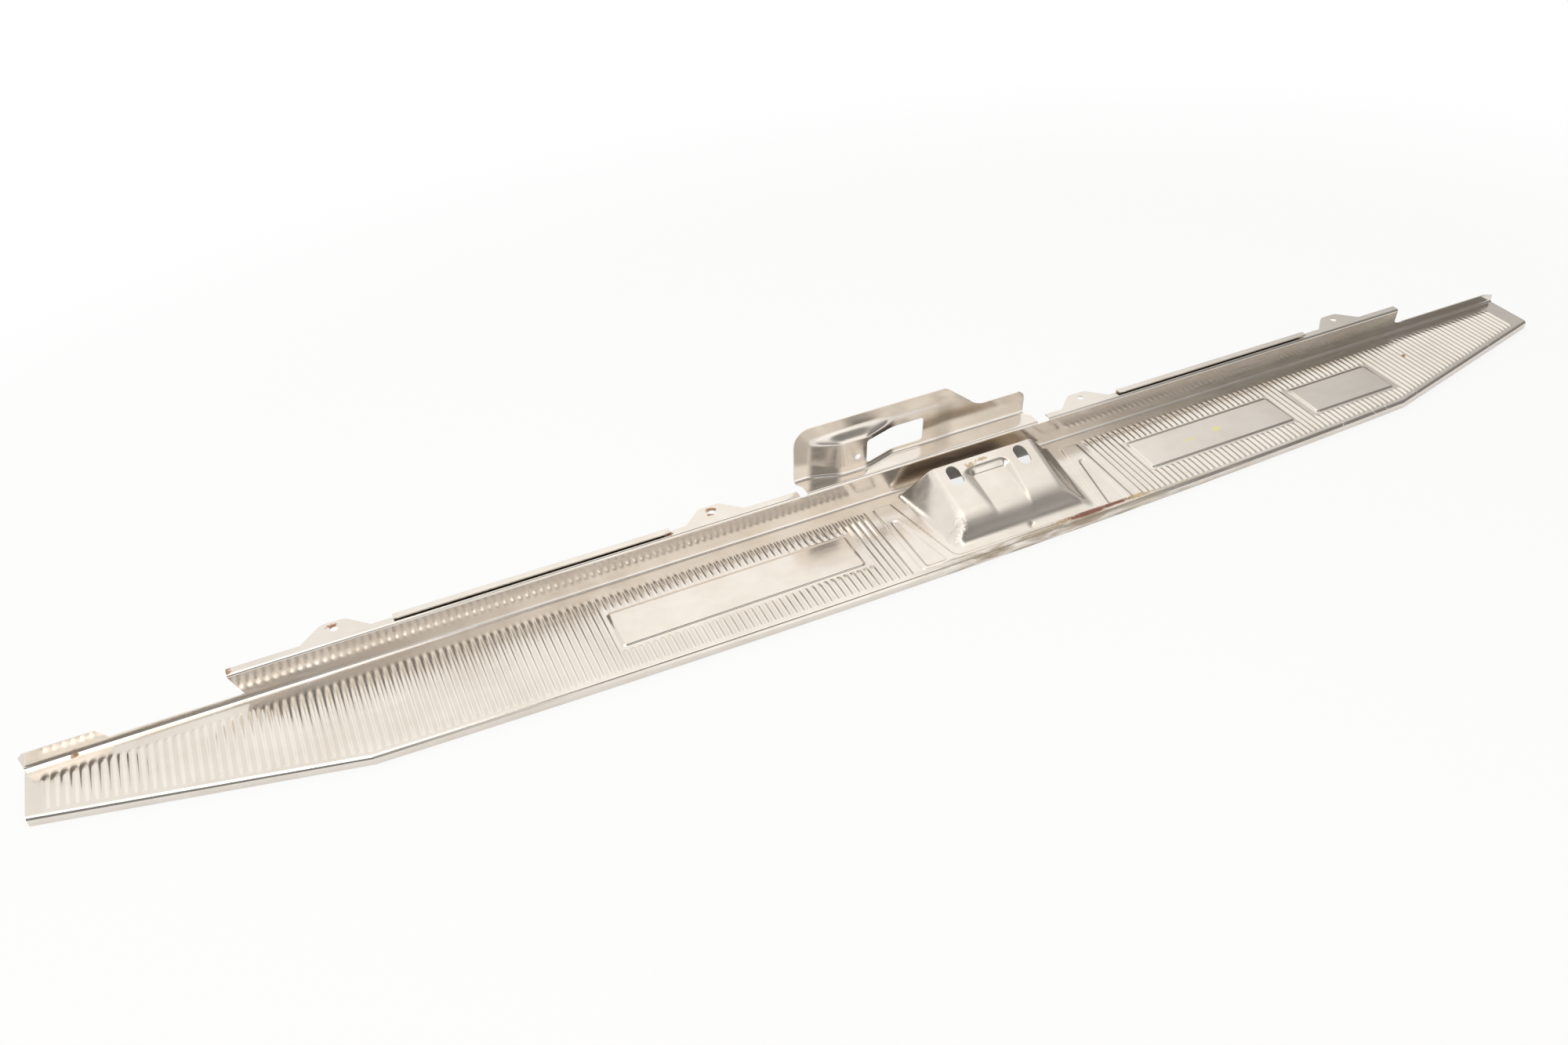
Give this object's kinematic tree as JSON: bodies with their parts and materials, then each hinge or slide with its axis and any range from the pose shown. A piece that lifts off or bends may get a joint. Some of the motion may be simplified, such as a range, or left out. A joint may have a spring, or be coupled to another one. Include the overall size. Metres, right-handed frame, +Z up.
{
  "type": "boot lid trim",
  "caption": "Ribbed stainless sill trim for a vehicle boot, with a rear wall, screw tabs, a raised lock cover and an upright striker bracket, pressed from one sheet.",
  "frame": {"origin": "middle of the base of the part's overall box, on the level of the front lip's lower edge", "axes": "+X along the part to the right as seen from its lip, +Y from the lip to the wall, +Z up, square to the flat of the tray"},
  "size_m": [1.256, 0.1133, 0.077],
  "materials": {
    "stainless": "polished stainless sheet, ribbed, lightly brushed and worn"
  },
  "bodies": {
    "root": {"boot_lid_trim": "stainless"}
  },
  "joints": []
}
